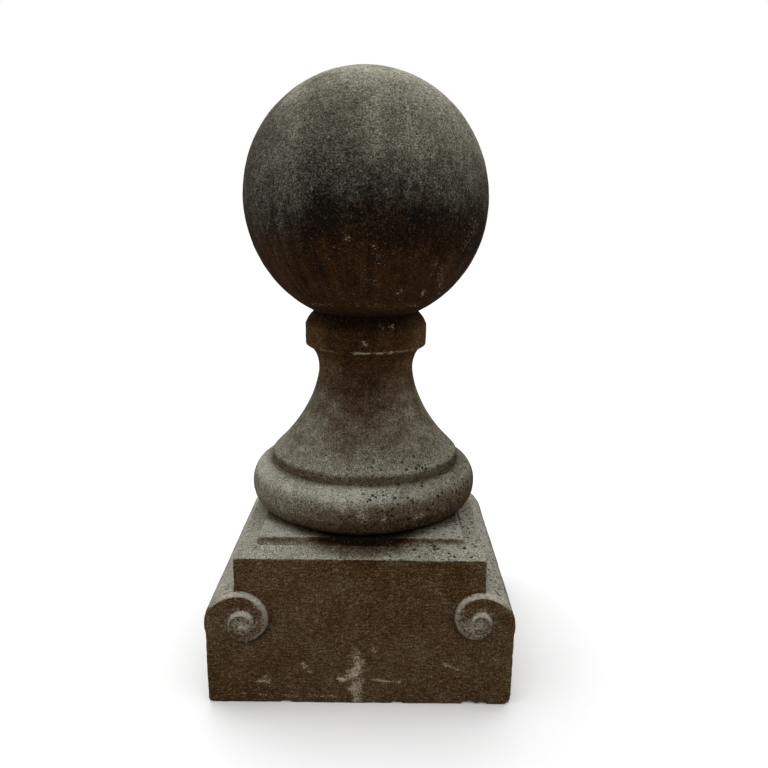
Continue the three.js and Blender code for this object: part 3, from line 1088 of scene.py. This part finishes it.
def finial_skin(n):
    """Pale on top of the ball, a black band below its middle, brown under it with painted shade on its
    underside, grey again on the foot.
    """
    height = ball_height(n)
    streaks = n.swing(n.noise(0.012, 3.0, 0.6, around_axis(n, 0.10)), 0.35)
    streaks = n.times(streaks, n.profile(n.z, FINIAL_STREAKS))
    marks = n.plus(ball_marks(n, height), neck_marks(n), torus_marks(n))
    level = n.plus(n.profile(height, FINIAL_PALENESS), streaks, marks)
    broken = n.times(n.band(n.noise(0.030, 2.0), 0.40, 0.60),
                     n.band(n.z, COLLAR_TOP - 0.030, COLLAR_TOP - 0.026, 0.4, 0.1))
    edges = n.times(broken, n.band(n.z, BEDDING + 0.01, BEDDING + 0.03))
    # Its hollows are darkened with dirt and painted shade
    return {"level": level, "lively": n.profile(n.z, FINIAL_GRAIN), "hollow_dirt_and_shade": 0.6, "edges": edges}


def greyed(n, colour):
    """The colour's lightness in the stone's own near neutral grey."""
    lightness = n.add("RGBToBW", Color=colour).outputs[0]
    return n.mix(1.0, n.grey(lightness), NEUTRAL, "MULTIPLY")


def finial_finish(n, colour):
    """Greys the upper half of the ball well, and everything below the neck a little."""
    left = n.band(n.x, -0.06, -0.11, 0.0, 0.030)
    on_ball = n.band(n.plus(n.z, left, n.drift(0.03, 4.0, 0.6, 0.05)),
                     BALL_CENTRE - 0.080, BALL_CENTRE + 0.02, 0.0, 0.9)
    below = n.band(n.z, COLLAR_FOOT, THROAT - 0.03, 0.0, 0.35)
    return n.mix(n.math("MAXIMUM", on_ball, below), colour, greyed(n, colour))


def seat_bevel_shade(n, on_seat):
    """Painted shade on the seat's bevel on the front and back, darkest along its top."""
    return n.times(n.band(n.z, SEAT_FOOT, SEAT_FOOT + 9 * MM, -0.3, 1.0), on_seat,
                   n.band(n.up, 0.80, 0.65), n.near_middle(n.lean_y, 0.3, 0.7))


def seat_stain_and_shadow(n):
    """The dark patch that runs down from under the torus, part damp stain and part painted shadow of the ball
    and torus, strong at the middle of front and back.
    """
    wander = n.drift(0.03, 4.0, 0.65, 0.02)
    across = n.plus(n.math("ABSOLUTE", n.x), n.times(wander, 2.0))
    middle = n.times(n.band(across, 0.115, 0.035), n.near_middle(n.y, 0.12, 0.17))
    stain_and_shadow = n.profile(n.plus(from_axis(n), wander), SEAT_STAIN_AND_SHADOW)
    stain_and_shadow = n.times(stain_and_shadow, n.plus(0.12, n.times(middle, 0.88)))
    return n.times(stain_and_shadow, n.band(n.z, SEAT_FOOT - 0.025, SEAT_FOOT - 0.005))


def plinth_skin(n):
    """Pale where the stone faces up, brown on its upright faces, stained and painted with shadow below the
    torus, with painted shade on the seat's bevel and a painted contact shadow round the torus.
    """
    pale = n.band(n.plus(n.up, n.drift(0.04, 4.0, 0.55, 0.20)), 0.15, 0.70, 0.41, 0.91)
    on_seat = n.band(n.z, SEAT_FOOT - MM, SEAT_FOOT + 2 * MM)
    # Painted contact shadow in a ring round the foot of the torus
    contact_shadow = n.times(on_seat, n.profile(from_axis(n), SEAT_CONTACT_SHADOW))
    # Dark patch below the torus: part stain, part painted shadow of the ball and torus
    stain_and_shadow = seat_stain_and_shadow(n)
    shade = n.plus(n.times(n.band(n.x, -0.14, 0.02), n.band(n.z, 0.10, 0.21), 0.055),
                   n.times(n.band(n.x, -0.10, -0.18), n.band(n.z, 0.10, 0.05), 0.05))
    shade = n.times(shade, n.band(n.up, 0.3, 0.1))
    # The seat is a little paler, and its bevel gets painted shade
    level = n.plus(pale, n.times(on_seat, 0.06), n.times(seat_bevel_shade(n, on_seat), -0.31),
                   n.times(n.plus(contact_shadow, stain_and_shadow, shade), -1.0))
    # The hollows are darkened with dirt and painted shade, less at the seat's foot and where lichen grows
    at_foot = n.times(n.band(n.z, SEAT_FOOT - 5 * MM, SEAT_FOOT - 2 * MM),
                      n.band(n.z, SEAT_FOOT + 5 * MM, SEAT_FOOT + 2 * MM))
    bare = n.math("SUBTRACT", 1.0, n.attribute("lichen"))
    hollow_dirt_and_shade = n.times(n.plus(0.6, n.times(at_foot, -0.6)), bare)
    edges = n.times(n.band(n.z, 0.20, 0.24, 0.15, 0.7), n.band(stain_and_shadow, 0.20, 0.05))
    return {"level": level, "lively": n.band(n.up, 0.3, 0.8, 0.7, 1.1), "hollow_dirt_and_shade": hollow_dirt_and_shade, "edges": edges}


def tooled(n, colour):
    """The colour with level tool marks on its upright faces."""
    upright = n.near_middle(n.up, 0.5, 0.2)
    tooling = n.plus(n.times(n.noise(4.2 * MM, 3.0, 0.7, n.stretch((0.40, 0.40, 1.4))), 0.5),
                     n.times(n.noise(2.4 * MM, 2.0, 0.75), 0.5))
    colour = n.mix(upright, colour, n.scaled(colour, n.band(tooling, 0.34, 0.66, 0.40, 1.45)))
    return n.mix(n.times(upright, n.band(tooling, 0.54, 0.66, 0.0, 0.16)), colour, LIME)


def plinth_finish(n, colour):
    """Tooling, greyer upper faces, lichen with a painted highlight where it faces up, grime with painted
    shadow round the scrolls, and black painted shade in the cracks.
    """
    colour = tooled(n, colour)
    colour = n.mix(n.band(n.up, 0.35, 0.60, 0.0, 0.5), colour, greyed(n, colour))
    lichen = n.attribute("lichen")
    lit = n.plus(0.72, n.times(n.up, 0.43))
    speckle = n.band(n.plus(n.noise(3.4 * MM, 4.0, 0.75), n.times(lichen, 0.22)), 0.56, 0.64)
    share = n.times(n.plus(0.35, n.times(lichen, 0.65)), n.band(lichen, 0.05, 0.15), lit, speckle)
    colour = n.mix(n.math("MULTIPLY", share, 0.95, True), colour, LICHEN)
    # Painted highlight on the rims' lichen where it faces up
    crest_highlight = n.times(share, n.band(n.up, 0.20, 0.70), n.band(n.noise(4.5 * MM, 3.0, 0.7), 0.42, 0.60), 0.60)
    colour = n.mix(n.math("MULTIPLY", crest_highlight, 1.0, True), colour, CREST_HIGHLIGHT)
    # Black for the grime with painted shadow round the scrolls, and for the painted shade in the cracks
    grime = n.math("MAXIMUM", n.times(n.attribute("grime"), 0.6), n.times(n.attribute("cracks"), 0.9))
    return n.mix(grime, colour, BLACK)


# Setting

def pale_floor():
    bpy.ops.mesh.primitive_plane_add(size=24)
    floor = bpy.context.object
    floor.name = "floor"
    n = Nodes("floor")
    tone = n.band(n.noise(0.4, 3.0), 0.3, 0.7, 0.87, 0.89)
    n.feed(n.shader.inputs["Base Color"], n.grey(tone))
    n.shader.inputs["Roughness"].default_value = 0.9
    floor.data.materials.append(n.material)


def light_ramp(tree, value, low, high, weak, strong):
    ramp = tree.nodes.new("ShaderNodeMapRange")
    tree.links.new(value, ramp.inputs["Value"])
    for name, setting in (("From Min", low), ("From Max", high), ("To Min", weak), ("To Max", strong)):
        ramp.inputs[name].default_value = setting
    return ramp.outputs["Result"]


def soft_light():
    """White surroundings, dimmer low down behind the camera, and one large soft lamp overhead."""
    world = bpy.data.worlds.new("studio")
    bpy.context.scene.world = world
    world.use_nodes = True
    tree = world.node_tree
    background = tree.nodes["Background"]
    direction = tree.nodes.new("ShaderNodeTexCoord")
    split = tree.nodes.new("ShaderNodeSeparateXYZ")
    brighter = tree.nodes.new("ShaderNodeMath")
    brighter.operation = "MAXIMUM"
    tree.links.new(direction.outputs["Generated"], split.inputs[0])
    tree.links.new(light_ramp(tree, split.outputs["Y"], -0.6, 0.6, 0.30, 1.0), brighter.inputs[0])
    tree.links.new(light_ramp(tree, split.outputs["Z"], 0.25, 0.75, 0.0, ZENITH), brighter.inputs[1])
    tree.links.new(brighter.outputs[0], background.inputs["Strength"])
    background.inputs["Color"].default_value = (1.0, 1.0, 1.0, 1.0)

    lamp = bpy.data.lights.new("overhead", "AREA")
    lamp.shape = "DISK"
    lamp.size = LAMP_SIZE
    lamp.energy = LAMP_POWER
    above = new_object("overhead", lamp)
    above.location = LAMP_PLACE
    above.rotation_euler = (Vector(LAMP_AIM) - above.location).to_track_quat("-Z", "Y").to_euler()


def photo_camera():
    data = bpy.data.cameras.new("camera")
    data.lens = CAMERA_LENS
    camera = new_object("camera", data)
    camera.location = CAMERA_PLACE
    camera.rotation_mode = "QUATERNION"
    level = Euler((math.pi / 2 - CAMERA_PITCH, 0, 0)).to_quaternion()
    camera.rotation_quaternion = level @ Quaternion((0, 0, 1), CAMERA_ROLL)
    bpy.context.scene.camera = camera


def dress(stone, material, node):
    stone.data.materials.append(material)
    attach(stone, "root")
    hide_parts(node)


photo_camera()
pale_floor()
soft_light()

finial = make_finial()
add_lime(finial.data, FINIAL_LIME, 0)
dress(finial, stone_material("finial_stone", finial_skin, finial_finish), "ball_finial")

plinth = make_plinth()
add_lime(plinth.data, PLINTH_LIME, FRONT + 10 * MM)
dress(plinth, stone_material("plinth_stone", plinth_skin, plinth_finish), "scroll_plinth")

bpy.context.scene.view_settings.view_transform = "Standard"
